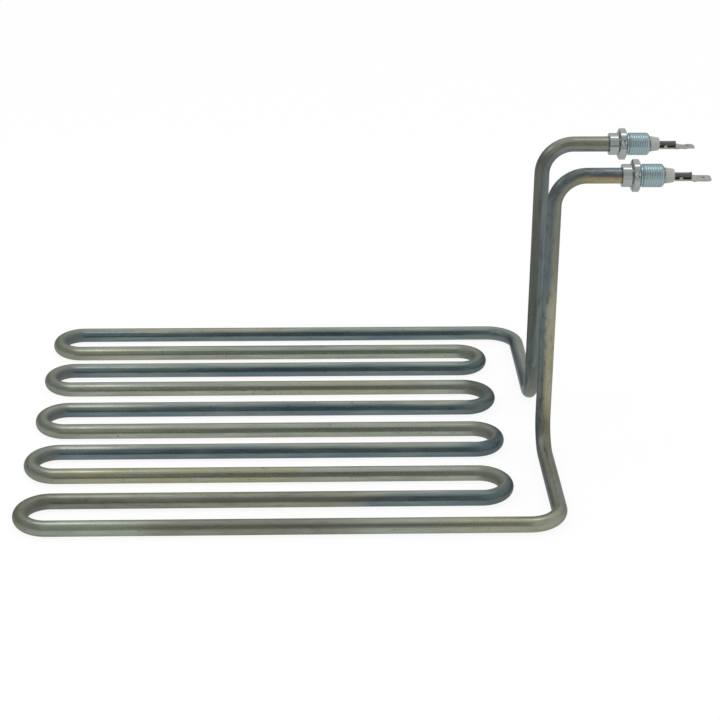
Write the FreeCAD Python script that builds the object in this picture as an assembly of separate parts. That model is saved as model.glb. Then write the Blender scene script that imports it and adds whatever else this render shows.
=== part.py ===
# Tubular heating element of a deep fryer: one bent steel tube with ten parallel runs, two risers
# and two horizontal ends, each with a threaded bush, a ceramic bead, a terminal pin and a tab.
# All sizes are in millimetres. X runs along the runs towards the terminals, Y across them with
# the front at -Y, and Z up. The origin is under the middle of the element, where it rests.
import FreeCAD
import Part
import math
import os
from FreeCAD import Vector

# Tube: a thin sheath packed with magnesia round the resistance coil.
sheath_od = 8.2
sheath_wall = 0.6
coil_od = 3.2

# The bank of runs. A bend's width is the distance between the two runs that it joins. Each bend is
# made by itself, so from the rear to the front they differ from their usual width, and fall short
# of the whole length of the bank.
bank_length = 257.7
bend_width = 27.0
bend_differences = [0, -2.5, -1.5, 0, 0, -2.0, 0.5, 0.5, 1.5]
bend_shortfalls = [0.1, 0.3, 0, 0, 0.6, 0.2, 0.1, 0.5, 0.7]

# The legs go from the first and the last run to the risers, beyond the right-hand return bends.
leg_offset = 20.0
leg_bend_radius = 16.5
front_riser_y = -27.0
rear_riser_y = 24.5
riser_height = 152.0

# How far each bush starts beyond the axis of its riser.
front_reach = 34.1
rear_reach = 35.1

# Threaded bush: a collar on the tube side, a hexagon flange and a threaded stub. The hexagon is
# turned round X from the place where two of its corners point to the front and the rear.
thread_d = 12.0
thread_length = 12.4
thread_chamfer = 1.5
collar_d = 11.7
collar_length = 4.9
collar_chamfer = 0.25
hex_across_flats = 15.8
hex_corner_d = 16.8
hex_face_d = 14.0
hex_thickness = 4.4
hex_chamfer_angle = 30.0
hex_turn = 8.0
bush_clearance = 0.05

# Round punch marks on two opposite flats fix the bush on the tube. The one on the upper front
# flat is at this angle from +Y before the hexagon is turned, and both are a little off its middle.
punch_mark_angle = 150.0
punch_mark_d = 3.0
punch_mark_depth = 0.4
punch_mark_offset = 0.3

# The sheath ends a little outside its bush, and the ceramic bead closes its mouth.
sheath_proud = 0.4
bead_length = 5.0
bead_d = 8.4
bead_tip_d = 6.9
bead_edge_radius = 0.8
bead_spigot_length = 3.0
bead_clearance = 0.1
seal_length = 6.0

# Terminal pin: from the tab through the bead and the top bend down into the riser.
pin_d = 3.2
pin_exposed = 9.0
pin_clearance = 0.1
weld_flat = 0.4
weld_mark_depth = 0.2
weld_mark_length = 6.3
cold_end_height = 42.0
spigot_d = 1.8
spigot_length = 8.0

# Push-on tab, welded under the pin.
tab_width = 6.3
tab_thickness = 0.8
tab_beyond_pin = 10.2
tab_gap = 0.2
tab_tip_radius = 1.5
tab_hole_d = 1.8
tab_hole_inset = 4.0
tab_shoulder_width = 7.2
tab_shoulder_length = 2.0
tab_ear_start = 2.2
tab_ear_length = 1.7
tab_ear_height = 1.2
tab_ear_thickness = 0.6
tab_ear_radius = 0.6

# Worked out from the sizes above.
bend_widths = [bend_width + difference for difference in bend_differences]
sheath_id = sheath_od - 2 * sheath_wall
bush_length = collar_length + hex_thickness + thread_length
mouth_reach = bush_length + sheath_proud
tip_reach = mouth_reach + bead_length + pin_exposed + tab_beyond_pin
total_length = bank_length + leg_offset + max(front_reach, rear_reach) + tip_reach
left_x = -total_length / 2
right_x = left_x + bank_length
riser_x = right_x + leg_offset
run_z = sheath_od / 2
top_z = run_z + riser_height

along_x = Vector(1, 0, 0)
up = Vector(0, 0, 1)

# How near an edge has to lie to a face to count as on it, and the shortest straight piece of tube.
edge_tolerance = 0.01


def corner_arc(before, corner, after, radius):
    """The quarter arc that rounds one right-angled corner of a route."""
    back = (before - corner).normalize()
    onward = (after - corner).normalize()
    start = corner + back * radius
    end = corner + onward * radius
    centre = start + onward * radius
    middle = centre - (back + onward).normalize() * radius
    return Part.Arc(start, middle, end).toShape()


def centreline(points, radii):
    """Straight lines between the points, with each corner rounded to its radius."""
    edges = []
    start = points[0]
    for index, radius in enumerate(radii):
        arc = corner_arc(points[index], points[index + 1], points[index + 2], radius)
        arc_start = arc.Vertexes[0].Point
        if (arc_start - start).Length > edge_tolerance:
            edges.append(Part.LineSegment(start, arc_start).toShape())
        edges.append(arc)
        start = arc.Vertexes[-1].Point
    edges.append(Part.LineSegment(start, points[-1]).toShape())
    return Part.Wire(edges)


def round_bar(points, radii, diameter):
    """A solid bar of one diameter along a rounded route."""
    outward = points[1] - points[0]
    circle = Part.Wire(Part.makeCircle(diameter / 2, points[0], outward))
    return centreline(points, radii).makePipe(Part.Face(circle))


def riser_point(riser_y, z):
    """A point on the axis of one riser."""
    return Vector(riser_x, riser_y, z)


def end_point(riser_y, reach):
    """A point on the axis of one horizontal end, some way beyond its riser."""
    return Vector(riser_x + reach, riser_y, top_z)


def bank_route():
    """Corners and bend radii from the foot of the front riser through all the runs to the rear one."""
    run_y = sum(bend_widths) / 2
    points = [riser_point(rear_riser_y, run_z), Vector(riser_x, run_y, run_z)]
    radii = [leg_bend_radius, leg_bend_radius]
    for index, width in enumerate(bend_widths):
        inset = sheath_od / 2 + bend_shortfalls[index]
        turn_x = right_x - inset if index % 2 else left_x + inset
        points.append(Vector(turn_x, run_y, run_z))
        run_y -= width
        points.append(Vector(turn_x, run_y, run_z))
        radii += [width / 2, width / 2]
    points += [Vector(riser_x, run_y, run_z), riser_point(front_riser_y, run_z)]
    radii += [leg_bend_radius, leg_bend_radius]
    return points[::-1], radii[::-1]


def mouth_to_mouth(inset, diameter):
    """A bar between the two mouths of the sheath, cut short by an inset at each."""
    corners, radii = bank_route()
    front = end_point(front_riser_y, front_reach + mouth_reach - inset)
    rear = end_point(rear_riser_y, rear_reach + mouth_reach - inset)
    front_top = riser_point(front_riser_y, top_z)
    rear_top = riser_point(rear_riser_y, top_z)
    points = [front, front_top] + corners + [rear_top, rear]
    return round_bar(points, [leg_bend_radius] + radii + [leg_bend_radius], diameter)


def sheath_tube():
    """The bent steel tube, open at both mouths."""
    return mouth_to_mouth(0, sheath_od).cut(mouth_to_mouth(0, sheath_id))


def resistance_coil():
    """The outer shape of the wire helix, with a socket at each end for the pin's spigot."""
    front = riser_point(front_riser_y, run_z + cold_end_height)
    rear = riser_point(rear_riser_y, run_z + cold_end_height)
    corners, radii = bank_route()
    coil = round_bar([front] + corners + [rear], radii, coil_od)
    for end in (front, rear):
        coil = coil.cut(Part.makeCylinder(spigot_d / 2, spigot_length, end, -up))
    return coil


def terminal_pin(riser_y, reach):
    """Pin down to the coil, welded flat under its outer end and marked by the electrode on top."""
    tip = end_point(riser_y, reach + mouth_reach + bead_length + pin_exposed)
    foot = riser_point(riser_y, run_z + cold_end_height)
    pin = round_bar([tip, riser_point(riser_y, top_z), foot], [leg_bend_radius], pin_d)
    pin = pin.fuse(Part.makeCylinder(spigot_d / 2, spigot_length, foot, -up))
    flat_start = tip - along_x * (pin_exposed - tab_gap)
    flat = Part.makeBox(pin_exposed, pin_d, pin_d)
    flat.translate(flat_start - Vector(0, pin_d / 2, pin_d / 2 - weld_flat + pin_d))
    mark_radius = ((weld_mark_length / 2)**2 + weld_mark_depth**2) / (2 * weld_mark_depth)
    mark_centre = tip - along_x * (pin_exposed / 2) + up * (pin_d / 2 + mark_radius - weld_mark_depth)
    mark = Part.makeCylinder(mark_radius, pin_d, mark_centre - Vector(0, pin_d / 2, 0), Vector(0, 1, 0))
    return pin.cut(flat).cut(mark)


def revolved(outline, start):
    """Turns an outline of (distance along X, radius) points into a round piece at a start point."""
    corners = [start + Vector(x, 0, radius) for x, radius in outline]
    face = Part.Face(Part.makePolygon(corners + corners[:1]))
    return face.revolve(start, along_x, 360)


def magnesia_fill(coil, pins):
    """The packed insulation between the sheath and what carries the current."""
    fill = mouth_to_mouth(bead_spigot_length + seal_length, sheath_id)
    return fill.cut(Part.makeCompound([coil] + pins))


def end_seal(riser_y, reach):
    """Resin ring that closes the tube between the insulation and the bead."""
    start = end_point(riser_y, reach + mouth_reach - bead_spigot_length - seal_length)
    ring = Part.makeCylinder(sheath_id / 2, seal_length, start, along_x)
    return ring.cut(Part.makeCylinder(pin_d / 2, seal_length, start, along_x))


def ceramic_bead(riser_y, reach):
    """Tapered insulator with a spigot in the sheath's mouth."""
    start = end_point(riser_y, reach + mouth_reach)
    outline = [
        (-bead_spigot_length, 0),
        (-bead_spigot_length, sheath_id / 2 - bead_clearance),
        (0, sheath_id / 2 - bead_clearance),
        (0, bead_d / 2),
        (bead_length, bead_tip_d / 2),
        (bead_length, 0),
    ]
    bead = revolved(outline, start)
    rim = [edge for edge in bead.Edges if edge.BoundBox.XMin > start.x + bead_length - edge_tolerance]
    bead = bead.makeFillet(bead_edge_radius, rim)
    hole_length = bead_spigot_length + bead_length
    hole_start = start - along_x * bead_spigot_length
    return bead.cut(Part.makeCylinder(pin_d / 2 + pin_clearance, hole_length, hole_start, along_x))


def sideways(angle):
    """The direction at an angle round the X axis, from +Y towards +Z."""
    return Vector(0, math.cos(math.radians(angle)), math.sin(math.radians(angle)))


def hexagon_flange(start):
    """Hexagon with its corners turned off all round and on both sides."""
    sharp_radius = hex_across_flats / 2 / math.cos(math.radians(30))
    corners = [start + sideways(hex_turn + 60 * index) * sharp_radius for index in range(7)]
    prism = Part.Face(Part.makePolygon(corners)).extrude(along_x * hex_thickness)
    corner_radius = hex_corner_d / 2
    face_radius = hex_face_d / 2
    run_in = (corner_radius - face_radius) * math.tan(math.radians(hex_chamfer_angle))
    outline = [
        (0, 0),
        (0, face_radius),
        (run_in, corner_radius),
        (hex_thickness - run_in, corner_radius),
        (hex_thickness, face_radius),
        (hex_thickness, 0),
    ]
    return prism.common(revolved(outline, start))


def punch_marks(start):
    """Two balls that press their shape into opposite flats of the hexagon."""
    radius = ((punch_mark_d / 2)**2 + punch_mark_depth**2) / (2 * punch_mark_depth)
    centre = start + along_x * (hex_thickness / 2 + punch_mark_offset)
    centre_distance = hex_across_flats / 2 - punch_mark_depth + radius
    outward = sideways(hex_turn + punch_mark_angle) * centre_distance
    balls = [Part.makeSphere(radius, centre + outward), Part.makeSphere(radius, centre - outward)]
    return Part.makeCompound(balls)


def threaded_bush(riser_y, reach):
    """Steel bush fixed on the sheath: collar, hexagon flange and threaded stub."""
    start = end_point(riser_y, reach)
    shoulder = collar_length + hex_thickness
    outline = [
        (0, 0),
        (0, collar_d / 2 - collar_chamfer),
        (collar_chamfer, collar_d / 2),
        (shoulder, collar_d / 2),
        (shoulder, thread_d / 2),
        (bush_length - thread_chamfer, thread_d / 2),
        (bush_length, thread_d / 2 - thread_chamfer),
        (bush_length, 0),
    ]
    body = revolved(outline, start)
    flange_start = start + along_x * collar_length
    flange = hexagon_flange(flange_start).cut(punch_marks(flange_start))
    bore_r = sheath_od / 2 + bush_clearance
    bore = Part.makeCylinder(bore_r, bush_length, start, along_x)
    return body.fuse(flange).cut(bore).removeSplitter()


def terminal_tab(riser_y, reach):
    """Flat blade with rounded tip, hole, stop shoulders and two locating ears."""
    bead_face = end_point(riser_y, reach + mouth_reach + bead_length)
    top = bead_face + Vector(tab_gap, 0, weld_flat - pin_d / 2)
    length = pin_exposed - tab_gap + tab_beyond_pin
    half = tab_width / 2
    plate = Part.makeBox(length, tab_width, tab_thickness)
    plate.translate(top - Vector(0, half, tab_thickness))
    tip_edges = [
        edge for edge in plate.Edges
        if edge.BoundBox.XMin > top.x + length - edge_tolerance
        and edge.BoundBox.YLength < edge_tolerance
    ]
    plate = plate.makeFillet(tab_tip_radius, tip_edges)
    shoulder = Part.makeBox(tab_shoulder_length, tab_shoulder_width, tab_thickness)
    shoulder.translate(top + Vector(pin_exposed - tab_gap, -tab_shoulder_width / 2, -tab_thickness))
    plate = plate.fuse(shoulder)
    for side_y in (-half, half - tab_ear_thickness):
        ear = Part.makeBox(tab_ear_length, tab_ear_thickness, tab_thickness + tab_ear_height)
        ear.translate(top + Vector(tab_ear_start, side_y, -tab_thickness))
        ear_top = [
            edge for edge in ear.Edges
            if edge.BoundBox.ZMin > top.z and edge.BoundBox.XLength < edge_tolerance
        ]
        plate = plate.fuse(ear.makeFillet(tab_ear_radius, ear_top))
    hole_centre = top + Vector(length - tab_hole_inset, 0, -tab_thickness)
    plate = plate.cut(Part.makeCylinder(tab_hole_d / 2, tab_thickness, hole_centre, up))
    return plate.removeSplitter()


def make_pieces():
    """All the pieces of the element by name."""
    ends = {
        "front": (front_riser_y, front_reach),
        "rear": (rear_riser_y, rear_reach),
    }
    pieces = {"sheath_tube": sheath_tube(), "resistance_coil": resistance_coil()}
    pins = []
    for side, (riser_y, reach) in ends.items():
        pin = terminal_pin(riser_y, reach)
        pins.append(pin)
        pieces["terminal_pin_" + side] = pin
        pieces["end_seal_" + side] = end_seal(riser_y, reach)
        pieces["threaded_bush_" + side] = threaded_bush(riser_y, reach)
        pieces["ceramic_bead_" + side] = ceramic_bead(riser_y, reach)
        pieces["terminal_tab_" + side] = terminal_tab(riser_y, reach)
    pieces["magnesia_fill"] = magnesia_fill(pieces["resistance_coil"], pins)
    return pieces


os.makedirs("parts", exist_ok=True)
for node, shape in make_pieces().items():
    shape.exportStep("parts/" + node + ".step")
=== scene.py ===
# Looks of a deep fryer's heating element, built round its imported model: the heat-tinted tube,
# the zinc-plated threaded bushes, the ceramic beads, and the pins with their welded tabs.
# Every length is in metres in the model's own frame, written as a number of mm.
import math

import bmesh
import bpy
import numpy as np
from mathutils import Matrix, Vector


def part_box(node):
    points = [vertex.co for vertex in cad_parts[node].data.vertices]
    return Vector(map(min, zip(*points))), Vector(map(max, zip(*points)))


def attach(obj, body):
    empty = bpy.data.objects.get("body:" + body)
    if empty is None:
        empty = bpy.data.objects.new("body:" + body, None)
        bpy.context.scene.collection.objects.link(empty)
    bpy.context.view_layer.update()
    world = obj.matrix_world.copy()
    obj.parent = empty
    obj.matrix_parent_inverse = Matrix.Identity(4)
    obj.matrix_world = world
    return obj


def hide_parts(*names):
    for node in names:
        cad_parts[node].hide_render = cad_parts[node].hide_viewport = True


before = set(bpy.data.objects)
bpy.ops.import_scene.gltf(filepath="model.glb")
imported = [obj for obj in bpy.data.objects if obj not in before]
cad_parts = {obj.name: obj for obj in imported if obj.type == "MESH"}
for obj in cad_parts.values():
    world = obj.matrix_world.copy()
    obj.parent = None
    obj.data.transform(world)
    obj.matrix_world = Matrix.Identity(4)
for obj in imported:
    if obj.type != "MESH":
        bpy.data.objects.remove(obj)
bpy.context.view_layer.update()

mm = 0.001
half_turn = math.pi
full_turn = 2 * half_turn
z_axis = np.array((0.0, 0.0, 1.0))

# Tube and route, as in the part's source.
sheath_od = 8.2 * mm
sheath_wall = 0.6 * mm
sheath_proud = 0.4 * mm
bank_length = 257.7 * mm
bend_width = 27.0 * mm
bend_differences = [0, -2.5 * mm, -1.5 * mm, 0, 0, -2.0 * mm, 0.5 * mm, 0.5 * mm, 1.5 * mm]
bend_shortfalls = [0.1 * mm, 0.3 * mm, 0, 0, 0.6 * mm, 0.2 * mm, 0.1 * mm, 0.5 * mm, 0.7 * mm]
leg_offset = 20.0 * mm
leg_bend_radius = 16.5 * mm

# What bending did to the tube. Bends wider than the tight radius count less.
tight_radius = 14.5 * mm
tightness_power = 8
bend_flattening = 0.02
dent_depth = 0.010 * mm
dent_spacing = 9 * mm
wave_depth = 0.012 * mm
wave_spacing = 30 * mm
relief_on_runs = 0.4

# Threaded bush.
thread_d = 12.0 * mm
thread_pitch = 1.25 * mm
thread_depth = 0.14 * mm
thread_run_in = 0.9 * thread_pitch
thread_relief_depth = 0.35 * mm
thread_relief_length = 1.1 * mm
thread_relief_rise = 0.12 * mm
thread_relief_fall = 0.25 * mm
thread_chamfer = 1.5 * mm
thread_end_roundness = 1.5
collar_d = 11.7 * mm
collar_length = 4.9 * mm
collar_chamfer = 0.25 * mm
collar_end_fillet = 0.25 * mm
hex_across_flats = 15.8 * mm
hex_corner_d = 16.8 * mm
hex_face_d = 14.0 * mm
hex_thickness = 4.4 * mm
hex_chamfer_angle = math.radians(30)
hex_turn = math.radians(8)
shoulder = collar_length + hex_thickness
punch_mark_angle = math.radians(150)
punch_mark_d = 3.0 * mm
punch_mark_depth = 0.4 * mm
punch_mark_offset = 0.3 * mm
punch_lip_height = 0.05 * mm
bush_clearance = 0.05 * mm
bore_chamfer = 0.15 * mm
turned_edge = 0.12 * mm

# Ceramic bead.
bead_d = 8.4 * mm
bead_tip_d = 6.9 * mm
bead_edge_radius = 0.8 * mm
bead_mouth_radius = 0.2 * mm
bead_spigot_length = 3.0 * mm
bead_clearance = 0.1 * mm
bead_hole_chamfer = 0.15 * mm
bead_ridge_depth = 0.036 * mm
bead_ridge_pitch = 0.62 * mm
bead_unevenness = 0.06 * mm

# Terminal pin.
pin_d = 3.2 * mm
pin_clearance = 0.1 * mm
weld_flat = 0.4 * mm
weld_mark_depth = 0.2 * mm
weld_squeeze = 0.10
cold_end_height = 42.0 * mm
spigot_d = 1.8 * mm
spigot_length = 8.0 * mm

# Push-on tab.
tab_width = 6.3 * mm
tab_thickness = 0.8 * mm
tab_gap = 0.2 * mm
tab_tip_radius = 1.5 * mm
tab_hole_d = 1.8 * mm
tab_hole_inset = 4.0 * mm
tab_shoulder_width = 7.2 * mm
tab_shoulder_length = 2.0 * mm
tab_ear_start = 2.2 * mm
tab_ear_length = 1.7 * mm
tab_ear_height = 1.2 * mm
tab_ear_thickness = 0.6 * mm
tab_ear_radius = 0.6 * mm
tab_coining = 0.13 * mm
tab_coined_tip = 0.9 * mm
tab_coined_from = 0.87
tab_half_waves = 3.4
stamped_edge = 0.06 * mm

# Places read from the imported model.
sheath_low, sheath_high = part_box("sheath_tube")
run_z = sheath_od / 2
top_z = sheath_high.z - sheath_od / 2
riser_x = sheath_low.x + bank_length + leg_offset


def terminal_places(side):
    """Where the pieces of one terminal are, from the boxes of their nodes."""
    bush_low, bush_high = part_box("threaded_bush_" + side)
    bead_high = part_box("ceramic_bead_" + side)[1]
    return {
        "side": side,
        "y": (bush_low.y + bush_high.y) / 2,
        "z": (bush_low.z + bush_high.z) / 2,
        "bush_start": bush_low.x,
        "bush_end": bush_high.x,
        "mouth": bush_high.x + sheath_proud,
        "bead_end": bead_high.x,
        "pin_end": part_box("terminal_pin_" + side)[1].x,
        "tab_end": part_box("terminal_tab_" + side)[1].x,
    }


terminals = [terminal_places("front"), terminal_places("rear")]


# Meshes.

def grid_faces(rows, columns, close_rows=False, close_columns=True):
    """Quads between the points of a grid, which may close on itself either way."""
    index = np.arange(rows * columns).reshape(rows, columns)
    if close_rows:
        index = np.vstack([index, index[:1]])
    if close_columns:
        index = np.hstack([index, index[:, :1]])
    quads = (index[:-1, :-1], index[:-1, 1:], index[1:, 1:], index[1:, :-1])
    return np.stack(quads, axis=-1).reshape(-1, 4)


def new_mesh(name, points, faces):
    """A mesh from arrays of points and faces."""
    mesh = bpy.data.meshes.new(name)
    points = np.asarray(points).reshape(-1, 3).tolist()
    mesh.from_pydata(points, [], [list(face) for face in faces])
    return mesh


def add_attribute(mesh, name, values):
    """Stores a vector for each point, which the materials read."""
    attribute = mesh.attributes.new(name, "FLOAT_VECTOR", "POINT")
    attribute.data.foreach_set("vector", np.asarray(values, np.float32).ravel())


def weld(mesh, distance=0.002 * mm):
    """Joins points that lie together and turns all faces outwards."""
    editable = bmesh.new()
    editable.from_mesh(mesh)
    bmesh.ops.remove_doubles(editable, verts=editable.verts, dist=distance)
    bmesh.ops.dissolve_degenerate(editable, edges=editable.edges, dist=distance / 2)
    bmesh.ops.recalc_face_normals(editable, faces=editable.faces)
    editable.to_mesh(mesh)
    editable.free()


def add_object(name, data):
    """Puts a mesh, lamp or camera in the scene."""
    made = bpy.data.objects.new(name, data)
    bpy.context.scene.collection.objects.link(made)
    return made


def add_piece(name, mesh, material, node, sharp_angle=32):
    """Puts a finished mesh in the scene in the place of a node."""
    mesh.shade_smooth()
    mesh.set_sharp_from_angle(angle=math.radians(sharp_angle))
    mesh.materials.append(material)
    piece = add_object(name, mesh)
    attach(piece, "root")
    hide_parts(node)
    return piece


# Routes.

def rounded_route(points, radii, line_step, arc_step):
    """Points along straight lines and rounded right-angled corners. Gives the places, the
    directions, the way along, how tight the bend is (from 0 on a line to 1) and the nearest
    line's number."""
    rows = []

    def add_line(start, end, line):
        length = np.linalg.norm(end - start)
        if length < 0.01 * mm:
            return
        steps = max(1, round(length / line_step))
        for share in np.linspace(0, 1, steps + 1)[:-1]:
            rows.append((start + (end - start) * share, (end - start) / length, 0, line))

    points = [np.array(point) for point in points]
    start = points[0]
    for index, radius in enumerate(radii):
        corner = points[index + 1]
        arriving = (corner - points[index]) / np.linalg.norm(corner - points[index])
        leaving = (points[index + 2] - corner) / np.linalg.norm(points[index + 2] - corner)
        arc_start = corner - arriving * radius
        centre = arc_start + leaving * radius
        add_line(start, arc_start, index)
        steps = round(half_turn / 2 / arc_step)
        tight = min(1, tight_radius / radius) ** tightness_power
        for angle in np.linspace(0, half_turn / 2, steps + 1)[:-1]:
            place = centre - leaving * radius * math.cos(angle)
            place = place + arriving * radius * math.sin(angle)
            direction = arriving * math.cos(angle) + leaving * math.sin(angle)
            line = index if angle < half_turn / 4 else index + 1
            rows.append((place, direction, tight, line))
        start = corner + leaving * radius
    add_line(start, points[-1], len(radii))
    rows.append((points[-1], rows[-1][1], 0, len(radii)))
    places, directions, tightness, lines = (np.array(column) for column in zip(*rows))
    along = np.concatenate([[0], np.cumsum(np.linalg.norm(np.diff(places, axis=0), axis=1))])
    return places, directions, along, tightness.astype(float), lines


def carried_sides(directions, first_side):
    """Two directions square to the route at each place, carried along it without twist."""
    sides = [first_side]
    for direction in directions[1:]:
        side = sides[-1] - direction * np.dot(sides[-1], direction)
        sides.append(side / np.linalg.norm(side))
    sides = np.array(sides)
    return sides, np.cross(directions, sides)


def unit_circles(sides, turns):
    """A circle of radius one round each place of a route, from the two directions there."""
    side, other = sides
    return (
        np.cos(turns)[None, :, None] * side[:, None, :]
        + np.sin(turns)[None, :, None] * other[:, None, :]
    )


def unbent(along, angle, radius):
    """The points of a bent bar as they were before it was bent: along it, and across it."""
    way = np.repeat(along[:, None], angle.shape[1], axis=1)
    return np.stack([way, np.cos(angle) * radius, np.sin(angle) * radius], axis=2)


def bank_corners():
    """Corners of the bank's route from the foot of the front riser to the foot of the rear one,
    and the radius at each."""
    run_y = sheath_high.y - sheath_od / 2
    ends = [sheath_low.x, sheath_low.x + bank_length]
    points = [(riser_x, terminals[1]["y"], run_z), (riser_x, run_y, run_z)]
    radii = [leg_bend_radius, leg_bend_radius]
    for index, difference in enumerate(bend_differences):
        width = bend_width + difference
        inset = sheath_od / 2 + bend_shortfalls[index]
        turn_x = ends[index % 2] + (-inset if index % 2 else inset)
        points += [(turn_x, run_y, run_z), (turn_x, run_y - width, run_z)]
        radii += [width / 2, width / 2]
        run_y -= width
    points += [(riser_x, run_y, run_z), (riser_x, terminals[0]["y"], run_z)]
    radii += [leg_bend_radius, leg_bend_radius]
    return points[::-1], radii[::-1]


def tube_route(line_step, arc_step):
    """The whole tube's route from the front mouth to the rear one, as rounded_route gives it."""
    corners, radii = bank_corners()
    front, rear = terminals
    points = [
        (front["mouth"], front["y"], top_z),
        (riser_x, front["y"], top_z),
        *corners,
        (riser_x, rear["y"], top_z),
        (rear["mouth"], rear["y"], top_z),
    ]
    return rounded_route(points, [leg_bend_radius, *radii, leg_bend_radius], line_step, arc_step)


# Lines of the tube's route by number. Each run and each return bend's middle has its own.
FRONT_END, FRONT_RISER, FRONT_LEG = 0, 1, 2
REAR_LEG, REAR_RISER, REAR_END = 22, 23, 24


def run_line(number):
    """The route's line for one of the ten runs, counted from the rear."""
    return 3 + 2 * (10 - number)


# Stains that show on the tube: line, start and end in mm along its axis, and how much straw,
# blue and dark there is. The dark is oxide, and on the risers also a painted darker reflection.
# Blue below nothing makes the tube's blue side straw-grey. Straw above one is the heat tint
# beside a bush: amber and blue, with a dark line between them that is partly painted reflection.
stains = [
    (run_line(1), -150, -40, 0.35, 0, 0),
    (run_line(2), -190, -120, 0.25, 0, 0),
    (run_line(2), -105, 10, 0, 0.55, 0),
    (run_line(4), -40, 30, 0.45, 0, 0),
    (run_line(6), -130, -95, 0, 0.5, 0),
    (run_line(8), -160, -35, 0.6, 0, 0),
    (run_line(8), -25, 15, 0, 0.5, 0),
    (run_line(9) - 1, -190, -140, 0.4, -0.6, 0.3),
    (run_line(9), -190, 0, 0.3, -0.6, 0.45),
    (run_line(10), -110, -10, 0.2, 0, 0.5),
    (run_line(10), 40, 110, 0.5, 0, 0),
    (FRONT_LEG, -112, -30, 0.2, -0.3, 0.4),
    (REAR_LEG, 40, 110, 0, 0.35, 0),
    # On the risers the dark amount paints a darker reflection as well as oxide.
    (FRONT_RISER, 95, 160, 0.3, 0.3, 0.6),
    (FRONT_RISER, 10, 95, 0.85, 0, 0.15),
    (FRONT_RISER, 4, 26, 0.2, 0, 0.6),
    (REAR_RISER, 10, 160, 0, 0, 0.85),
    (FRONT_END, 95, 112, 0.3, 0.45, 0.5),
    (FRONT_END, 112, 142, 1.6, 0.25, 0.3),
    (REAR_END, 112, 140, 0.35, 0, 0.5),
]
# The right-hand return bends by the run at their rear: blue and dark oxide.
for number, blue, dark in ((2, 0.3, 0.1), (4, 1.3, 0.5), (6, 0.8, 0.1), (8, 0.2, 0.1)):
    bend_line = run_line(number) - 1
    for line in (bend_line - 1, bend_line, bend_line + 1):
        stains.append((line, 62, 90, 0, blue, dark))
stain_softness = 18

# Where the blue side is turned about the tube: line, start, end and softness in mm, and angle.
whole_line = (-1000, 1000, 40)
twists = [
    (REAR_RISER, 35, 170, 40, 2.6),
    (REAR_END, *whole_line, 2.8),
    (FRONT_RISER, *whole_line, -0.15),
    (FRONT_RISER, -20, 65, 40, -0.4),
]

# Duller places beside the leg bends: line, and start, end and softness in mm.
dull_places = [(FRONT_LEG, -85, -10, 30), (FRONT_RISER, -20, 22, 16), (REAR_LEG, 85, 140, 20)]


def window(values, start, end, soft):
    """One between start and end, falling smoothly to nothing beyond them."""
    rise = np.clip((values - start) / soft + 0.5, 0, 1)
    fall = np.clip((end - values) / soft + 0.5, 0, 1)
    return (rise * rise * (3 - 2 * rise)) * (fall * fall * (3 - 2 * fall))


def eased(values, rings):
    """Values spread gently over a number of neighbouring rings."""
    weights = np.hanning(rings)
    return np.convolve(values, weights / weights.sum(), mode="same")


def line_coordinate(places, lines):
    """The coordinate along each place's own line, in mm: X on runs and ends, Z on risers and Y
    on legs."""
    along_z = np.isin(lines, (FRONT_RISER, REAR_RISER))
    along_y = np.isin(lines, (FRONT_LEG, REAR_LEG))
    chosen = np.where(along_z, places[:, 2], np.where(along_y, places[:, 1], places[:, 0]))
    return chosen / mm


def wobble(along, seed, waves, shortest):
    """A gentle seeded curve between -1 and 1 along the tube."""
    random = np.random.default_rng(seed)
    total = np.zeros_like(along)
    for _ in range(waves):
        length = shortest * random.uniform(1, 5)
        total += np.sin(along / length * full_turn + random.uniform(0, full_turn))
    return total / waves


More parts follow.
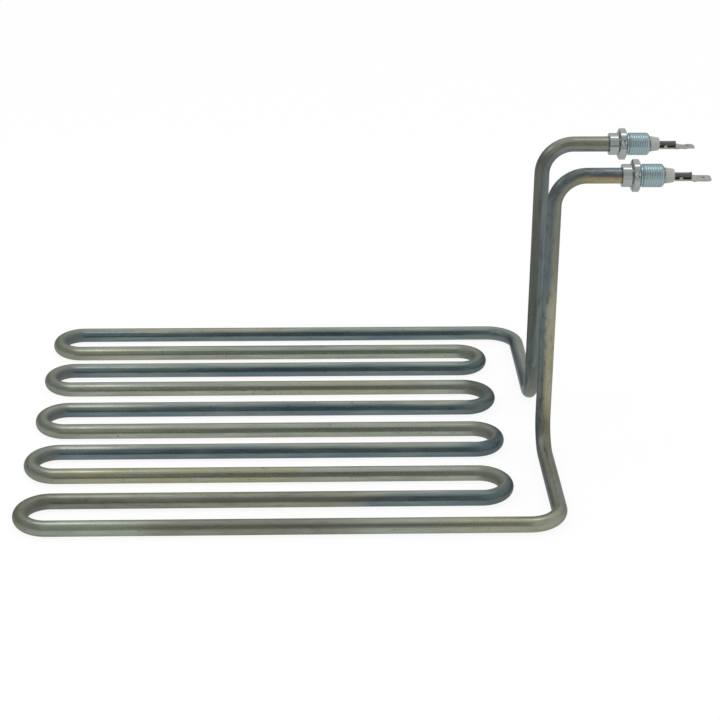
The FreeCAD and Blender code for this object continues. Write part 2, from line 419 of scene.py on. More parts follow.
def sheath_mesh():
    """The bent tube with its wall and open mouths, slightly flattened in its bends."""
    around = 44
    turns = np.arange(around) / around * full_turn
    places, directions, along, tightness, lines = tube_route(2.5 * mm, math.radians(4.5))
    bent = eased(tightness, 9)
    inner_way = np.gradient(directions, axis=0)
    inner_length = np.linalg.norm(inner_way, axis=1, keepdims=True)
    inner_way = inner_way / np.maximum(inner_length, 1e-9)
    offsets = unit_circles(carried_sides(directions, z_axis), turns)
    inward = (offsets * inner_way[:, None, :]).sum(axis=2, keepdims=True)
    flattening = bend_flattening * bent[:, None, None]
    offsets = offsets - inward * inner_way[:, None, :] * flattening

    # Small dents and waves in the wall, always inwards, and less on the runs than in bends.
    relief = dent_depth * (1 + wobble(along, 5, 9, dent_spacing))[:, None]
    wave_turn = 5 * wobble(along, 8, 6, wave_spacing)[:, None]
    relief = relief + wave_depth * (1 + np.cos(2 * turns[None, :] + wave_turn))
    relief = relief * (relief_on_runs + (1 - relief_on_runs) * bent[:, None])
    outer = places[:, None, :] + offsets * (sheath_od / 2 - relief)[:, :, None]

    # The bore is plain and coarser.
    bore_places, bore_directions, _, _, _ = tube_route(60 * mm, math.radians(18))
    bore_circles = unit_circles(carried_sides(bore_directions, z_axis), turns)
    bore = bore_places[:, None, :] + (sheath_od / 2 - sheath_wall) * bore_circles
    rings = np.concatenate([outer, bore[::-1]])
    mesh = new_mesh("sheath", rings, grid_faces(len(rings), around, close_rows=True))
    coordinate = line_coordinate(places, lines)

    def stretch(line, start, end, soft):
        return window(coordinate, start, end, soft) * (lines == line)

    def store(name, values):
        add_attribute(mesh, name, np.concatenate([values, np.zeros_like(bore)]))

    # The tube before it was bent, turned so that its blue side is in place.
    twist = 0.2 * wobble(along, 21, 5, 60 * mm)
    turned = sum(angle * stretch(*where) for *where, angle in twists)
    twist = twist + eased(turned, 9)
    store("straight", unbent(along, turns[None, :] - twist[:, None], sheath_od / 2))

    # Where the stains are.
    amounts = np.zeros((len(places), 3))
    for line, start, end, *oxides in stains:
        weight = eased(stretch(line, start, end, stain_softness), 13)
        amounts += weight[:, None] * np.array(oxides)
    store("stains", np.repeat(amounts[:, None, :], around, axis=1))

    # What the bending tool left: how tight the bend is, the same towards its inner side (below
    # nothing on the outer one), and the duller places.
    worked = np.zeros((len(places), around, 3))
    worked[:, :, 0] = eased(tightness, 17)[:, None]
    worked[:, :, 1] = worked[:, :, 0] * inward[:, :, 0]
    worked[:, :, 2] = eased(sum(stretch(*where) for where in dull_places), 17)[:, None]
    store("worked", worked)
    return mesh


# Turned pieces.

def turned_mesh(name, place, start_x, x, radius, angle):
    """A closed round piece on a terminal's axis, from rings of x and radius at each angle. Its
    first and last columns lie together and are welded."""
    points = np.stack([
        start_x + x,
        place["y"] + radius * np.cos(angle),
        place["z"] + radius * np.sin(angle),
    ], axis=2)
    mesh = new_mesh(name, points, grid_faces(*x.shape, close_rows=True, close_columns=False))
    add_attribute(mesh, "turned", np.stack([x, radius, np.zeros_like(x)], axis=2))
    weld(mesh)
    return mesh


def plain_rings(outline, angle):
    """The same (x, radius) at every angle, for each point of an outline."""
    return np.repeat(np.array(outline).T[:, :, None], len(angle), axis=2)


def arc_outline(centre_x, centre_r, radius, start, end, steps):
    """Points of an arc in the (x, radius) plane, with its angles in degrees."""
    return [
        (centre_x + radius * math.cos(a), centre_r + radius * math.sin(a))
        for a in np.linspace(math.radians(start), math.radians(end), steps)
    ]


def thread_rings(start, end, angle):
    """A right-handed helical thread as rings that climb by one pitch a turn, with a relief
    beside the flange. Rings beyond an end are pressed flat onto it, so that welding closes it."""
    # Shares of the pitch, and of the groove's depth there.
    profile = [
        (0.00, 0.0), (0.20, 0.0), (0.40, 0.0), (0.58, 0.0), (0.62, 0.05), (0.67, 0.25),
        (0.72, 0.65), (0.76, 0.92), (0.80, 1.0), (0.84, 0.92), (0.88, 0.65), (0.93, 0.25),
        (0.98, 0.05),
    ]
    shares, depths = np.array(profile).T
    turns = np.arange(-1, int((end - start) / thread_pitch) + 2)
    x = start + (turns[:, None] + shares).reshape(-1, 1) * thread_pitch
    x = np.clip(x - angle / full_turn * thread_pitch + thread_pitch, start, end)
    groove = np.tile(depths * thread_depth, len(turns))[:, None]
    groove = groove * np.clip((x - start) / thread_run_in, 0, 1)
    relief = np.clip((x - start) / thread_relief_rise, 0, 1)
    relief = relief * np.clip(1 - (x - start - thread_relief_length) / thread_relief_fall, 0, 1)
    radius = thread_d / 2 - np.maximum(groove, thread_relief_depth * relief)
    into_end = np.clip(1 - (end - x) / thread_chamfer, 0, 1) ** thread_end_roundness
    rounding = 1 - (1 - into_end) ** (1 / thread_end_roundness)
    return x, np.minimum(radius, thread_d / 2 - thread_chamfer * rounding)


def hexagon_rings(angle):
    """The hexagon between its two chamfers, with its corners turned off and two punch marks."""
    around = angle - hex_turn
    radius = hex_across_flats / 2 / np.cos(np.mod(around, half_turn / 3) - half_turn / 6)
    radius = np.minimum(radius, hex_corner_d / 2)
    run_in = (radius - hex_face_d / 2) * math.tan(hex_chamfer_angle)
    share = np.concatenate([[0, 0.03], np.linspace(0.08, 0.92, 15), [0.97, 1]])[:, None]
    x = run_in + share * (hex_thickness - 2 * run_in)
    radius = np.repeat(radius[None, :], len(share), axis=0)

    # Each mark is a round hollow with a raised lip, on the flat that faces it.
    centre_x = hex_thickness / 2 + punch_mark_offset
    for mark in (punch_mark_angle, punch_mark_angle + half_turn):
        faces_mark = np.cos(around - mark) > 0.5
        sideways = hex_across_flats / 2 * np.tan(np.where(faces_mark, around - mark, 0))
        distance = np.hypot(x - centre_x, sideways) / (punch_mark_d / 2)
        hollow = punch_mark_depth * np.clip(1 - distance**1.2, 0, 1)
        lip = punch_lip_height * np.exp(-((distance - 1.12) / 0.12) ** 2)
        radius = radius - np.where(faces_mark, hollow - lip, 0)
    over_corner = (hex_corner_d / 2 - radius).min(axis=0) < 0
    radius = np.where(over_corner, np.minimum(radius, hex_corner_d / 2), radius)
    return x, radius


def bush_mesh(place):
    """Collar, hexagon flange turned off on both sides, threaded stub and bore."""
    angle = hex_turn + np.linspace(0, full_turn, 193)
    length = place["bush_end"] - place["bush_start"]
    bore = sheath_od / 2 + bush_clearance
    collar_r, face, thread_r = collar_d / 2, hex_face_d / 2, thread_d / 2

    # Rings close beside rounded edges keep the shading crisp.
    beside, around_face = 0.06 * mm, turned_edge * 0.3
    fillet_x = collar_length - collar_end_fillet
    collar = [(bore_chamfer, bore), (0, bore + bore_chamfer), (0, collar_r - collar_chamfer)]
    collar += arc_outline(collar_chamfer, collar_r - collar_chamfer, collar_chamfer, 180, 90, 4)
    collar += [(x, collar_r) for x in (collar_chamfer + beside, fillet_x - beside, fillet_x)]
    collar += arc_outline(fillet_x, collar_r + collar_end_fillet, collar_end_fillet, -90, 0, 4)
    collar += [(collar_length, face - turned_edge), (collar_length + around_face, face)]
    before_thread = [(shoulder - around_face, face), (shoulder, face - turned_edge)]
    before_thread += [(shoulder, thread_r + 0.2 * mm), (shoulder, thread_r)]
    stub_end = [(length, thread_r - thread_chamfer), (length, bore)]

    hexagon_x, hexagon_radius = hexagon_rings(angle)
    parts = [
        plain_rings(collar, angle),
        (collar_length + hexagon_x, hexagon_radius),
        plain_rings(before_thread, angle),
        thread_rings(shoulder, length, angle),
        plain_rings(stub_end, angle),
    ]
    x, radius = (np.vstack(rings) for rings in zip(*parts))
    return turned_mesh("bush", place, place["bush_start"], x, radius, angle)


def bead_mesh(place):
    """Tapered ceramic bead with a rounded outer edge and the fine ridges of its mould."""
    angle = np.linspace(0, full_turn, 73)
    length = place["bead_end"] - place["mouth"]
    spigot = sheath_od / 2 - sheath_wall - bead_clearance
    hole = pin_d / 2 + pin_clearance
    edge = bead_edge_radius
    rim = bead_mouth_radius

    def tapered(x):
        return bead_d / 2 + (bead_tip_d - bead_d) / 2 * x / length

    outline = [(-bead_spigot_length, hole), (-bead_spigot_length, spigot), (0, spigot)]
    outline += [(0, bead_d / 2 - rim)]
    outline += arc_outline(rim, bead_d / 2 - rim, rim, 180, 95, 4)
    for x in np.linspace(0.05, 1, 44) * (length - edge):
        ridge = bead_ridge_depth / 2 * (1 + math.cos(x / bead_ridge_pitch * full_turn))
        outline.append((x, tapered(x) - ridge))
    tip = tapered(length - edge) - 0.02 * mm
    outline += arc_outline(length - edge, tip - edge, edge, 82, 0, 8)
    outline += [(length, hole + bead_hole_chamfer), (length - bead_hole_chamfer, hole)]
    x, radius = plain_rings(outline, angle)

    # Slightly three-cornered, most at the thick end, each bead in its own way.
    uneven = bead_unevenness / 2 * (1 + np.sin(3 * angle + 1.1 + place["y"] * 90))[None, :]
    on_side = (x > 0) & (radius > spigot)
    radius = np.where(on_side, radius - uneven * (radius / (bead_d / 2)) ** 8, radius)
    return turned_mesh("bead", place, place["mouth"], x, radius, angle)


def pin_mesh(place, burr):
    """Pin from its sheared tip through the bead and the top bend down to the coil's end."""
    around = 40
    turns = np.arange(around) / around * full_turn
    foot = np.array((riser_x, place["y"], run_z + cold_end_height))
    tip, bend = [(x, place["y"], place["z"]) for x in (place["pin_end"], riser_x)]
    route = rounded_route([tip, bend, foot], [leg_bend_radius], 0.3 * mm, math.radians(6))
    places = np.vstack([route[0], foot, foot - z_axis * spigot_length])
    directions = np.vstack([route[1], -z_axis, -z_axis])
    along = route[2]
    radius = np.full(len(places), pin_d / 2)
    radius[-2:] = spigot_d / 2
    circles = unit_circles(carried_sides(directions, z_axis), turns)
    rings = places[:, None, :] + radius[:, None, None] * circles

    # The weld pressed the exposed end flat under, hollow on top and out at the sides.
    exposed = place["pin_end"] - place["bead_end"]
    out = rings[:, :, 0] - place["bead_end"]
    height = rings[:, :, 2] - place["z"]
    welded = window(out, tab_gap * 3, exposed * 2, 0.5 * mm)
    hollow = window(out, 0.16 * exposed, 0.86 * exposed, 0.5 * exposed)
    low = -pin_d / 2 + weld_flat * welded
    high = pin_d / 2 - weld_mark_depth * hollow
    squeeze = 1 + weld_squeeze * hollow * np.clip(-height / (pin_d / 2) + 0.3, 0, 1)
    from_axis = (rings[:, :, 1] - place["y"]) * squeeze
    near_tip = window(out, exposed - 0.5 * mm, exposed * 2, 0.8 * mm)
    lifted = burr * near_tip * np.clip(height / (pin_d / 2), 0, 1) ** 4
    pressed = place["z"] + np.clip(height, low, high) + lifted
    is_out = out > -0.5 * mm
    rings[:, :, 1] = np.where(is_out, place["y"] + from_axis, rings[:, :, 1])
    rings[:, :, 2] = np.where(is_out, pressed, rings[:, :, 2])

    # The tip and the foot are closed by a ring drawn in and a point.
    tip_centre = rings[0].mean(axis=0)
    tip_ring = tip_centre + (rings[0] - tip_centre) * 0.90
    rings[0, :, 0] -= turned_edge
    tip_point = np.repeat([tip_centre], around, axis=0)
    foot_point = np.repeat([rings[-1].mean(axis=0)], around, axis=0)
    rings = np.concatenate([[tip_point, tip_ring], rings, [foot_point]])
    mesh = new_mesh("pin", rings, grid_faces(len(rings), around))
    along = np.concatenate([[0, 0], along, [along[-1]] * 3])
    angle = np.repeat(turns[None, :], len(along), axis=0)
    add_attribute(mesh, "straight", unbent(along, angle, pin_d / 2))
    weld(mesh)
    return mesh


def tab_half_width(out, length, pin_exposed):
    """Half the blade's width at a distance from the bead, with stop shoulders and a round tip."""
    half = tab_width / 2
    shoulders = window(out, pin_exposed, pin_exposed + tab_shoulder_length, 0.8 * mm)
    width = half + (tab_shoulder_width / 2 - half) * shoulders
    into_tip = np.clip(out - (length - tab_tip_radius), 0, tab_tip_radius)
    return width - tab_tip_radius + np.sqrt(tab_tip_radius**2 - into_tip**2)


def tab_mesh(place, waves, lean, turn):
    """Stamped blade with coined edges, stop shoulders and two ears, and the X of its hole."""
    start = place["bead_end"] + tab_gap
    length = place["tab_end"] - start
    pin_exposed = place["pin_end"] - start
    top = -pin_d / 2 + weld_flat
    ear_end = tab_ear_start + tab_ear_length
    tip_steps = length - tab_tip_radius * (1 - np.sin(np.linspace(0, half_turn / 2, 9)))
    ear_curve = tab_ear_radius * (1 - np.cos(np.linspace(0, half_turn / 2, 7)))
    stations = np.unique(np.round(np.concatenate([
        [0, 0.12 * mm],
        np.linspace(0.12 * mm, length - tab_tip_radius, 56),
        tab_ear_start + ear_curve,
        ear_end - ear_curve,
        [tab_ear_start - 0.01 * mm, ear_end + 0.01 * mm],
        tip_steps,
    ]), 8))
    strip = tab_ear_thickness / (tab_width / 2)
    right = np.array([0.35, 0.6, *(1 - strip * np.array((1.05, 1, 0.88, 0.12, 0)))])
    across = np.concatenate([-right[::-1], [0], right])
    x = np.repeat(stations[:, None], len(across), axis=1)
    y = across[None, :] * tab_half_width(stations, length, pin_exposed)[:, None]

    # The ears stand on the two outer strips, with rounded corners.
    into_ear = np.minimum(x - tab_ear_start, ear_end - x)
    corner = np.clip(tab_ear_radius - into_ear, 0, tab_ear_radius)
    rounded = tab_ear_height - tab_ear_radius + np.sqrt(tab_ear_radius**2 - corner**2)
    ear = np.where((into_ear >= 0) & (np.abs(across)[None, :] >= 1 - strip * 1.01), rounded, 0)

    # The long edges and the tip are coined thinner for the receptacle to slide on.
    to_edge = (np.abs(across)[None, :] - tab_coined_from) / (1 - tab_coined_from)
    beyond = window(x, pin_exposed + tab_shoulder_length, length * 2, 0.6 * mm)
    to_tip = np.clip((x - (length - tab_coined_tip)) / tab_coined_tip, 0, 1)
    coined = tab_coining * np.maximum(np.clip(to_edge, 0, 1) * beyond, to_tip)

    # Beyond the pin the blade is wavy, leans and is turned about its length.
    past_pin = x - pin_exposed
    blade = length - pin_exposed
    bend = waves * np.sin(past_pin / blade * tab_half_waves * half_turn)
    bend = bend * window(x, pin_exposed + 0.5 * mm, length * 2, 1.5 * mm)
    bend = bend + lean * np.clip(past_pin, 0, length) / blade
    bend = bend + math.tan(turn) * y * np.clip(past_pin / (1.5 * mm), 0, 1)
    upper = top + ear - coined + bend
    lower = top - tab_thickness + coined + bend

    def surface(height):
        return np.stack([start + x, place["y"] + y, place["z"] + height], axis=2)

    rows, columns = x.shape
    skin = np.concatenate([surface(upper), surface(lower)[:, ::-1]], axis=1)
    faces = grid_faces(rows, 2 * columns).tolist()
    for row in (0, rows - 1):
        ring = [row * 2 * columns + column for column in range(2 * columns)]
        for column in range(columns - 1):
            faces.append([ring[column], ring[column + 1], ring[-2 - column], ring[-1 - column]])
    mesh = new_mesh("tab", skin, faces)
    weld(mesh)
    return mesh, start + length - tab_hole_inset


def drill(piece, centre, diameter, depth):
    """Cuts a round hole down through a piece and softens the stamped edges."""
    cutter_mesh = bpy.data.meshes.new("cutter")
    editable = bmesh.new()
    bmesh.ops.create_cone(editable, cap_ends=True, segments=40, radius1=diameter / 2,
                          radius2=diameter / 2, depth=depth)
    editable.to_mesh(cutter_mesh)
    editable.free()
    cutter_mesh.transform(Matrix.Translation(centre))
    cutter = add_object("cutter", cutter_mesh)
    cut = piece.modifiers.new("hole", "BOOLEAN")
    cut.object = cutter
    cut.solver = "EXACT"
    soften = piece.modifiers.new("edges", "BEVEL")
    soften.width = stamped_edge
    soften.segments = 2
    soften.limit_method = "ANGLE"
    soften.angle_limit = math.radians(38)
    graph = bpy.context.evaluated_depsgraph_get()
    cut_mesh = bpy.data.meshes.new_from_object(piece.evaluated_get(graph))
    piece.modifiers.clear()
    piece.data = cut_mesh
    bpy.data.objects.remove(cutter)


# Materials.

class Shader:
    """A short way to write the nodes of a material or a world."""

    def __init__(self, owner):
        owner.use_nodes = True
        self.owner = owner
        self.tree = owner.node_tree
        self.tree.nodes.clear()

    def node(self, kind, inputs=None, **settings):
        made = self.tree.nodes.new("ShaderNode" + kind)
        for name, value in settings.items():
            setattr(made, name, value)
        for key, value in (inputs or {}).items():
            if isinstance(value, bpy.types.NodeSocket):
                self.tree.links.new(value, made.inputs[key])
            else:
                made.inputs[key].default_value = value
        return made

    def attribute(self, name):
        return self.node("Attribute", attribute_name=name).outputs["Vector"]

    def place(self):
        """The place on the piece, in metres."""
        return self.node("TexCoord").outputs["Object"]

    def parts(self, vector):
        """The X, Y and Z of a vector."""
        return self.node("SeparateXYZ", {0: vector}).outputs

    def noise(self, vector, scale, detail=2.0, roughness=0.5, shift=0.0):
        """Noise, with one scale or one for each axis."""
        scale = scale if isinstance(scale, tuple) else (scale,) * 3
        moved = {"Vector": vector, "Scale": scale, "Location": (shift,) * 3}
        inputs = {"Vector": self.node("Mapping", moved).outputs["Vector"], "Scale": 1.0}
        inputs |= {"Detail": detail, "Roughness": roughness}
        return self.node("TexNoise", inputs).outputs["Fac"]

    def math(self, operation, *values):
        return self.node("Math", dict(enumerate(values)), operation=operation).outputs[0]

    def plus(self, first, second):
        return self.math("ADD", first, second)

    def times(self, first, second):
        return self.math("MULTIPLY", first, second)

    def between(self, value, low, high, start=0.0, end=1.0):
        """Maps a value from low..high to start..end along a smooth step."""
        inputs = {"Value": value, "From Min": low, "From Max": high, "To Min": start, "To Max": end}
        return self.node("MapRange", inputs, interpolation_type="SMOOTHSTEP").outputs["Result"]

    def mix(self, share, first, second, blend="MIX"):
        inputs = {0: share, 6: first, 7: second}
        return self.node("Mix", inputs, data_type="RGBA", blend_type=blend).outputs[2]

    def over(self, base, laid, value, low, high, share=1.0):
        """Lays a colour over another, up to a share of it, where a value goes from low to high."""
        return self.mix(self.between(value, low, high, 0.0, share), base, laid)

    def bump(self, height, distance, strength):
        inputs = {"Height": height, "Distance": distance, "Strength": strength}
        return self.node("Bump", inputs).outputs["Normal"]

    def emission(self, strength):
        return self.node("Emission", {"Color": colour(1, 1, 1), "Strength": strength})

    def output(self, surface):
        """Ends in a surface."""
        self.node("OutputMaterial", {"Surface": surface.outputs[0]})
        return self.owner

    def finish(self, base, roughness, normal, metallic=0.0, tint=1.0):
        """Ends in one plain shader. The tint is how bright it is at grazing angles."""
        inputs = {"Base Color": base, "Metallic": metallic, "Roughness": roughness}
        inputs |= {"Normal": normal, "Specular Tint": colour(tint, tint, tint)}
        return self.output(self.node("BsdfPrincipled", inputs))


def colour(red, green, blue):
    return (red, green, blue, 1.0)


def new_shader(name):
    return Shader(bpy.data.materials.new(name))


def sheath_material():
    """Annealed stainless tube: blue-grey oxide along one side, straw-grey along the other,
    with stains, fine streaks along the tube and a duller, gritty skin in the bends. The dark
    stains on the risers and the line between the heat tints also paint dark reflection."""
    pale_olive, deep_olive = colour(0.305, 0.335, 0.28), colour(0.255, 0.275, 0.225)
    deep_slate, pale_slate = colour(0.12, 0.16, 0.17), colour(0.165, 0.205, 0.205)
    blue_oxide, straw_oxide = colour(0.09, 0.135, 0.17), colour(0.335, 0.315, 0.185)
    amber_tint, blue_tint = colour(0.43, 0.34, 0.19), colour(0.13, 0.195, 0.25)
    tint_border_and_painted_reflection, dark_oxide_and_painted_reflection = colour(0.08, 0.07, 0.055), colour(0.095, 0.097, 0.086)
    blotch, streak, speck = (
        colour(0.08, 0.075, 0.06), colour(0.16, 0.165, 0.16), colour(0.06, 0.06, 0.055))
    bend_darkening, inner_bend = colour(0.74, 0.75, 0.73), colour(0.235, 0.24, 0.215)

    s = new_shader("sheath_steel")
    straight = s.attribute("straight")
    stain = s.parts(s.attribute("stains"))
    worked = s.parts(s.attribute("worked"))
    side = s.times(s.parts(straight)["Y"], 2 / sheath_od)

    patches = s.noise(straight, (14, 130, 130), detail=3.0, roughness=0.55)
    clouds = s.noise(straight, (45, 260, 260), detail=4.0, roughness=0.6, shift=7.0)
    streaks = s.noise(straight, (28, 2600, 2600), detail=3.0, roughness=0.6, shift=3.0)
    grain = s.noise(straight, 1900, shift=11.0)
    specks = s.noise(straight, (420, 620, 620), detail=1.0, shift=19.0)

    # The two sides, with an uneven border between them.
    lean = s.math("MULTIPLY_ADD", patches, 1.2, -0.6)
    blueness = s.between(s.plus(s.plus(side, lean), stain["Y"]), 0.25, 0.85)
    olive = s.over(pale_olive, deep_olive, clouds, 0.35, 0.65)
    slate = s.over(deep_slate, pale_slate, clouds, 0.35, 0.65)
    slate = s.over(slate, blue_oxide, patches, 0.45, 0.65, 0.7)
    base = s.mix(blueness, olive, slate)

    # Straw, then the heat tint with a dark line where amber meets blue, partly painted reflection,
    # then dark oxide, on the risers partly painted darker reflection.
    straw_share = s.times(stain["X"], s.between(clouds, 0.3, 0.6, 0.45, 1.0))
    straw_share = s.times(straw_share, s.between(blueness, 0.2, 1.0, 1.0, 0.1))
    base = s.mix(straw_share, base, straw_oxide)
    tint = s.over(amber_tint, blue_tint, blueness, 0.2, 0.8)
    base = s.over(base, tint, stain["X"], 1.0, 1.6, 0.55)
    # The dark line where amber meets blue is partly a painted dark reflection along the tube's
    # front.
    rim = s.times(s.times(blueness, s.math("SUBTRACT", 1.0, blueness)), 4.0)
    rim = s.times(rim, s.between(stain["X"], 1.0, 1.6, 0.0, 0.75))
    base = s.mix(rim, base, tint_border_and_painted_reflection)
    dark_share = s.times(stain["Z"], s.between(patches, 0.3, 0.6, 0.55, 1.0))
    dark_share = s.times(dark_share, s.between(blueness, 0.2, 1.0, 1.0, 0.35))
    base = s.mix(dark_share, base, dark_oxide_and_painted_reflection)

    # Blotches in the stains, and streaks and specks everywhere.
    blotches = s.noise(straight, (170, 420, 420), detail=3.0, roughness=0.6, shift=29.0)
    stained = s.math("MINIMUM", s.plus(stain["X"], stain["Z"]), 1.0)
    blotch_share = s.times(stained, s.between(blotches, 0.50, 0.68, 0.0, 0.6))
    blotch_share = s.times(blotch_share, s.between(blueness, 0.0, 0.3, 0.5, 1.0))
    base = s.mix(blotch_share, base, blotch)
    base = s.over(base, streak, streaks, 0.35, 0.7, 0.15)
    base = s.over(base, speck, specks, 0.71, 0.77, 0.5)

    # Darker in the bends, and greyer on their inner side.
    gritty = s.times(worked["X"], s.between(grain, 0.35, 0.65, 0.7, 1.0))
    base = s.mix(gritty, base, s.mix(1.0, base, bend_darkening, "MULTIPLY"))
    base = s.over(base, inner_bend, worked["Y"], 0.1, 1.0, 0.45)

    roughness = s.between(clouds, 0.3, 0.7, 0.25, 0.30)
    roughness = s.plus(roughness, s.times(worked["X"], 0.10))
    roughness = s.plus(roughness, s.between(worked["Y"], 0.0, 1.0, 0.0, 0.3))
    roughness = s.plus(roughness, s.times(worked["Z"], 0.1))
    roughness = s.plus(roughness, s.times(stain["Z"], 0.15))
    height = s.plus(s.times(streaks, 0.22), s.times(grain, 0.05))
    normal = s.bump(height, 0.005 * mm, 0.5)
    return s.finish(base, roughness, normal, metallic=1.0, tint=0.65)


def zinc_material():
    """Blue zinc plating over turned steel, bluer and rougher on the thread."""
    deep_zinc, pale_zinc = colour(0.305, 0.35, 0.345), colour(0.35, 0.38, 0.37)
    warm_film, thread_blue = colour(0.355, 0.35, 0.32), colour(0.29, 0.385, 0.40)
    turning_mark = colour(0.27, 0.33, 0.34)
    s = new_shader("zinc_plating")
    turned = s.attribute("turned")
    place = s.place()
    marks = s.noise(turned, (4200, 4200, 1))
    clouds = s.noise(place, 260, detail=3.0, roughness=0.6)
    film = s.noise(place, 130, detail=1.0, shift=5.0)
    on_thread = s.between(s.parts(turned)["X"], shoulder - 0.4 * mm, shoulder + 0.4 * mm)
    base = s.over(deep_zinc, pale_zinc, clouds, 0.3, 0.7)
    base = s.over(base, warm_film, film, 0.52, 0.72, 0.5)
    base = s.mix(on_thread, base, thread_blue)
    base = s.over(base, turning_mark, marks, 0.5, 0.8, 0.08)
    roughness = s.plus(s.between(clouds, 0.3, 0.7, 0.14, 0.19), s.times(on_thread, 0.12))
    normal = s.bump(s.plus(marks, s.times(clouds, 0.5)), 0.0012 * mm, 0.6)
    return s.finish(base, roughness, normal, metallic=1.0, tint=0.6)


def bead_material():
    """Unglazed ceramic, warm grey, with a little dirt in its ridges."""
    s = new_shader("bead_ceramic")
    turned = s.attribute("turned")
    place = s.place()
    rings = s.noise(turned, (2600, 2600, 1))
    clouds = s.noise(place, 420, detail=4.0, roughness=0.65)
    grain = s.noise(place, 5200, shift=4.0)
    pale_grey, deep_grey = colour(0.63, 0.60, 0.55), colour(0.56, 0.53, 0.48)
    base = s.over(pale_grey, deep_grey, clouds, 0.3, 0.7)
    base = s.over(base, colour(0.42, 0.395, 0.35), rings, 0.5, 0.75, 0.2)
    base = s.over(base, colour(0.28, 0.26, 0.22), grain, 0.62, 0.7, 0.3)
    normal = s.bump(s.plus(rings, grain), 0.02 * mm, 0.6)
    return s.finish(base, 0.82, normal)


def pin_material():
    """Dark oxide scale with rubbed, paler places."""
    s = new_shader("pin_steel")
    straight = s.attribute("straight")
    scale = s.noise(straight, (700, 1500, 1500), detail=4.0, roughness=0.65)
    rubbed = s.noise(straight, (260, 900, 900), detail=3.0, shift=6.0)
    dark_scale, grey_scale = colour(0.085, 0.085, 0.08), colour(0.16, 0.155, 0.145)
    base = s.over(dark_scale, grey_scale, scale, 0.3, 0.7)
    base = s.over(base, colour(0.24, 0.23, 0.21), rubbed, 0.58, 0.75, 0.6)
    roughness = s.between(scale, 0.3, 0.7, 0.34, 0.52)
    normal = s.bump(scale, 0.03 * mm, 0.7)
    return s.finish(base, roughness, normal, metallic=0.9)


def tab_material():
    """Dull nickel-plated sheet with rolling lines."""
    s = new_shader("tab_steel")
    place = s.place()
    lines = s.noise(place, (180, 5200, 900), detail=3.0, roughness=0.6)
    clouds = s.noise(place, 500, detail=3.0, shift=3.0)
    pale_nickel, dull_nickel = colour(0.37, 0.37, 0.345), colour(0.30, 0.30, 0.28)
    base = s.over(pale_nickel, dull_nickel, clouds, 0.3, 0.7)
    base = s.over(base, colour(0.25, 0.245, 0.23), lines, 0.5, 0.75, 0.3)
    roughness = s.between(clouds, 0.3, 0.7, 0.32, 0.46)
    normal = s.bump(s.plus(lines, clouds), 0.012 * mm, 0.7)
    return s.finish(base, roughness, normal, metallic=1.0)


def powder_material(name, pale, dark, roughness, scale):
    """A dull mottled finish for what is inside the tube."""
    s = new_shader(name)
    clouds = s.noise(s.place(), scale, detail=4.0, roughness=0.7)
    base = s.over(colour(*pale), colour(*dark), clouds, 0.3, 0.7)
    return s.finish(base, roughness, s.bump(clouds, 0.03 * mm, 0.6))


def coil_material():
    """Oxidised resistance wire, with the turns of the helix as ridges."""
    s = new_shader("coil_wire")
    inputs = {"Vector": s.place(), "Scale": 210.0, "Distortion": 0.4}
    wire = s.node("TexWave", inputs, wave_type="BANDS").outputs["Fac"]
    base = s.mix(wire, colour(0.09, 0.085, 0.08), colour(0.30, 0.29, 0.28))
    return s.finish(base, 0.5, s.bump(wire, 0.2 * mm, 0.8), metallic=0.9)


def dress(node, material):
    """Gives a node that stays its finish."""
    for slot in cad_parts[node].material_slots:
        slot.material = material


# Studio.

camera_place = Vector((sheath_low.x + 139.81 * mm, -1000.12 * mm, 494.73 * mm))
camera_yaw = math.radians(1.9265)
camera_pitch = math.radians(24.1778)
camera_roll = math.radians(0.4357)
focal_length_px = 2009.81
principal_point_px = (348.89, 352.41)
picture_px = 720
sensor_mm = 36

tent_radius = 2.4
board_y = -0.46
board_half_length = 0.5
board_height = 0.13

# Lamps: name, place, what it points at, size in metres and power in watts.
softboxes = [
    ("softbox_left", (-0.25, -0.005, 0.44), (-0.25, 0, 0), (0.14, 0.18), 0.24),
    ("softbox_right", (0.47, 0.12, 1.40), (0.40, 0.10, 0), (0.36, 0.40), 1.15),
]


def add_camera():
    """The photograph's own viewpoint, with the shift of its framing."""
    data = bpy.data.cameras.new("camera")
    data.sensor_width = sensor_mm
    data.lens = focal_length_px / picture_px * sensor_mm
    data.shift_x = (picture_px / 2 - principal_point_px[0]) / picture_px
    data.shift_y = (principal_point_px[1] - picture_px / 2) / picture_px
    data.clip_start = 0.01
    data.clip_end = 100
    camera = add_object("camera", data)
    forward = Vector((
        math.sin(camera_yaw) * math.cos(camera_pitch),
        math.cos(camera_yaw) * math.cos(camera_pitch),
        -math.sin(camera_pitch),
    ))
    level = Vector((math.cos(camera_yaw), -math.sin(camera_yaw), 0))
    upward = level.cross(forward)
    right = level * math.cos(camera_roll) + upward * math.sin(camera_roll)
    top = upward * math.cos(camera_roll) - level * math.sin(camera_roll)
    turn = Matrix((right, top, -forward)).transposed()
    camera.matrix_world = Matrix.Translation(camera_place) @ turn.to_4x4()
    bpy.context.scene.camera = camera


def seen_directly(s):
    """One for the camera's, glossy and transmitted rays, which meet the white background."""
    path = s.node("LightPath").outputs
    seen = s.math("MAXIMUM", path["Is Camera Ray"], path["Is Glossy Ray"])
    return s.math("MAXIMUM", seen, path["Is Transmission Ray"])


def add_world():
    """White to look at, and a plain level of light on the object."""
    world = bpy.data.worlds.new("studio")
    bpy.context.scene.world = world
    s = Shader(world)
    light = s.node("Background", {"Color": colour(0.96, 0.98, 1.0), "Strength": 0.62})
    white = s.node("Background", {"Color": colour(1, 1, 1), "Strength": 1.0})
    inputs = {0: seen_directly(s), 1: light.outputs[0], 2: white.outputs[0]}
    s.node("OutputWorld", {"Surface": s.node("MixShader", inputs).outputs[0]})


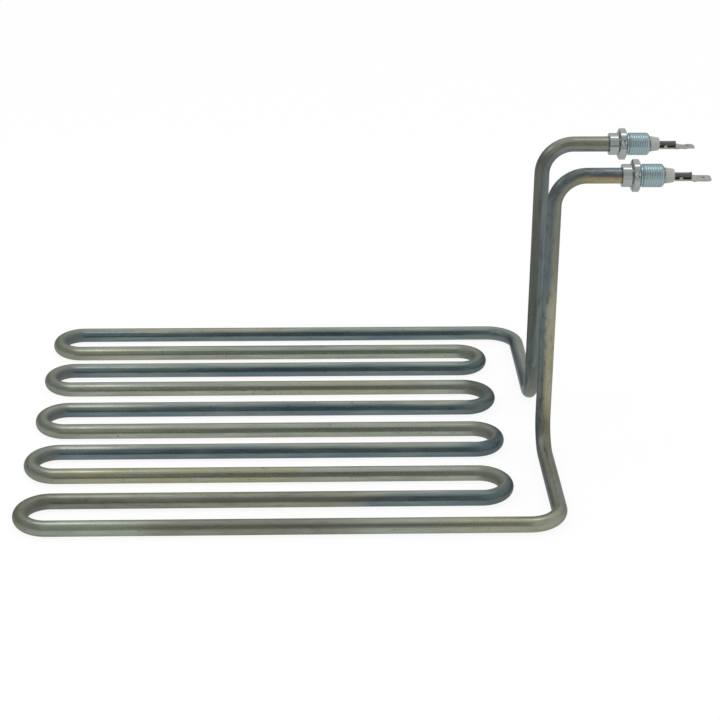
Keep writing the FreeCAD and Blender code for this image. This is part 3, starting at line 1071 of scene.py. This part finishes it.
def add_floor():
    """A white table that shows only a trace of the shadow."""
    bpy.ops.mesh.primitive_circle_add(vertices=96, radius=12, fill_type="NGON")
    floor = bpy.context.object
    floor.name = "floor"
    s = new_shader("white_table")
    lit = s.node("BsdfDiffuse", {"Color": colour(0.86, 0.86, 0.86)})
    faint = s.node("BsdfDiffuse", {"Color": colour(0.16, 0.16, 0.16)})
    shown = s.node("AddShader", {0: faint.outputs[0], 1: s.emission(0.89).outputs[0]})
    inputs = {0: seen_directly(s), 1: lit.outputs[0], 2: shown.outputs[0]}
    floor.data.materials.append(s.output(s.node("MixShader", inputs)))


def tent_material():
    """Behind the object the tent is brightest high up, and darker to the left. In front it is
    dark round the camera and bright on both sides, with a faint glow along the horizon."""
    s = new_shader("tent_cloth")
    place = s.parts(s.place())
    to_front = s.times(place["Y"], -1 / tent_radius)
    to_right = s.times(place["X"], 1 / tent_radius)
    back_wall = s.between(place["Z"], 0.35 * tent_radius, 0.62 * tent_radius, 0.70, 1.15)
    behind = s.between(to_front, -0.6, 0.0, back_wall, 0.90)
    behind = s.times(behind, s.between(to_right, -0.50, -0.25, 0.68, 1.0))
    front_share = s.between(to_front, 0.40, 0.62)
    far_left = s.between(to_right, -0.40, -0.24, 0.45, 1.4)
    left_of_camera = s.between(to_right, -0.21, -0.12, far_left, 0.10)
    right_of_camera = s.between(to_right, 0.11, 0.22, 0.0, 0.75)
    horizon = s.between(place["Z"], 0.15 * tent_radius, 0.35 * tent_radius, 0.25, 0.0)
    in_front = s.plus(s.plus(left_of_camera, right_of_camera), horizon)
    level = s.node("Mix", {0: front_share, 2: behind, 3: in_front}).outputs[0]
    return s.output(s.emission(level))


def board_material():
    """A grey that is brighter to the right."""
    s = new_shader("grey_board")
    return s.output(s.emission(s.between(s.parts(s.place())["X"], 0.12, 0.19, 0.45, 0.78)))


def add_reflected():
    """A light tent, and a grey board that stands low in front. They are seen only as what
    bright metal reflects."""
    rise = np.linspace(0, half_turn / 2, 25)[:-1]
    turns = np.linspace(0, full_turn, 65)[:-1]
    rings = tent_radius * np.stack([
        np.cos(rise)[:, None] * np.cos(turns)[None, :],
        np.cos(rise)[:, None] * np.sin(turns)[None, :],
        np.sin(rise)[:, None] + 0 * turns[None, :],
    ], axis=2)
    tent_mesh = new_mesh("tent", rings, grid_faces(len(rise), len(turns)))
    side_heights = [(-1, 0), (1, 0), (1, 1), (-1, 1)]
    corners = [(side * board_half_length, board_y, up * board_height) for side, up in side_heights]
    board_mesh = new_mesh("board", corners, [(0, 1, 2, 3)])
    for mesh, material in ((tent_mesh, tent_material()), (board_mesh, board_material())):
        mesh.materials.append(material)
        shown_in_metal = add_object(mesh.name, mesh)
        for ray in ("camera", "diffuse", "transmission", "shadow"):
            setattr(shown_in_metal, "visible_" + ray, False)


def add_softboxes():
    """Rectangular lamps, each pointed at a place on the object."""
    for name, place, target, size, power in softboxes:
        lamp = bpy.data.lights.new(name, "AREA")
        lamp.shape = "RECTANGLE"
        lamp.size, lamp.size_y = size
        lamp.energy = power
        softbox = add_object(name, lamp)
        softbox.location = place
        aim = Vector(target) - Vector(place)
        softbox.rotation_euler = aim.to_track_quat("-Z", "Y").to_euler()


# The element.

sheath = sheath_mesh()
add_piece("sheath", sheath, sheath_material(), "sheath_tube", sharp_angle=60)
zinc, ceramic = zinc_material(), bead_material()
scaled_steel, nickel = pin_material(), tab_material()

# How the two tips differ: the pin's burr, and the blade's waves, lean and turn.
tip_details = {
    "front": (0.42 * mm, 0.0, 0.0, math.radians(7)),
    "rear": (0.08 * mm, 0.16 * mm, 0.12 * mm, 0.0),
}
for place in terminals:
    side = place["side"]
    burr, waves, lean, turn = tip_details[side]
    add_piece("bush_" + side, bush_mesh(place), zinc, "threaded_bush_" + side)
    add_piece("bead_" + side, bead_mesh(place), ceramic, "ceramic_bead_" + side)
    add_piece("pin_" + side, pin_mesh(place, burr), scaled_steel,
              "terminal_pin_" + side, sharp_angle=45)
    blade, hole_x = tab_mesh(place, waves, lean, turn)
    tab = add_piece("tab_" + side, blade, nickel, "terminal_tab_" + side)
    drill(tab, Vector((hole_x, place["y"], place["z"] - pin_d / 2)), tab_hole_d, 4 * tab_thickness)
    seal = powder_material("seal_resin", (0.22, 0.18, 0.14), (0.14, 0.11, 0.08), 0.6, 900)
    dress("end_seal_" + side, seal)
powder = powder_material("magnesia", (0.86, 0.84, 0.79), (0.74, 0.72, 0.66), 0.95, 2200)
dress("magnesia_fill", powder)
dress("resistance_coil", coil_material())

add_world()
add_floor()
add_reflected()
add_softboxes()
add_camera()

scene = bpy.context.scene
scene.view_settings.view_transform = "Standard"
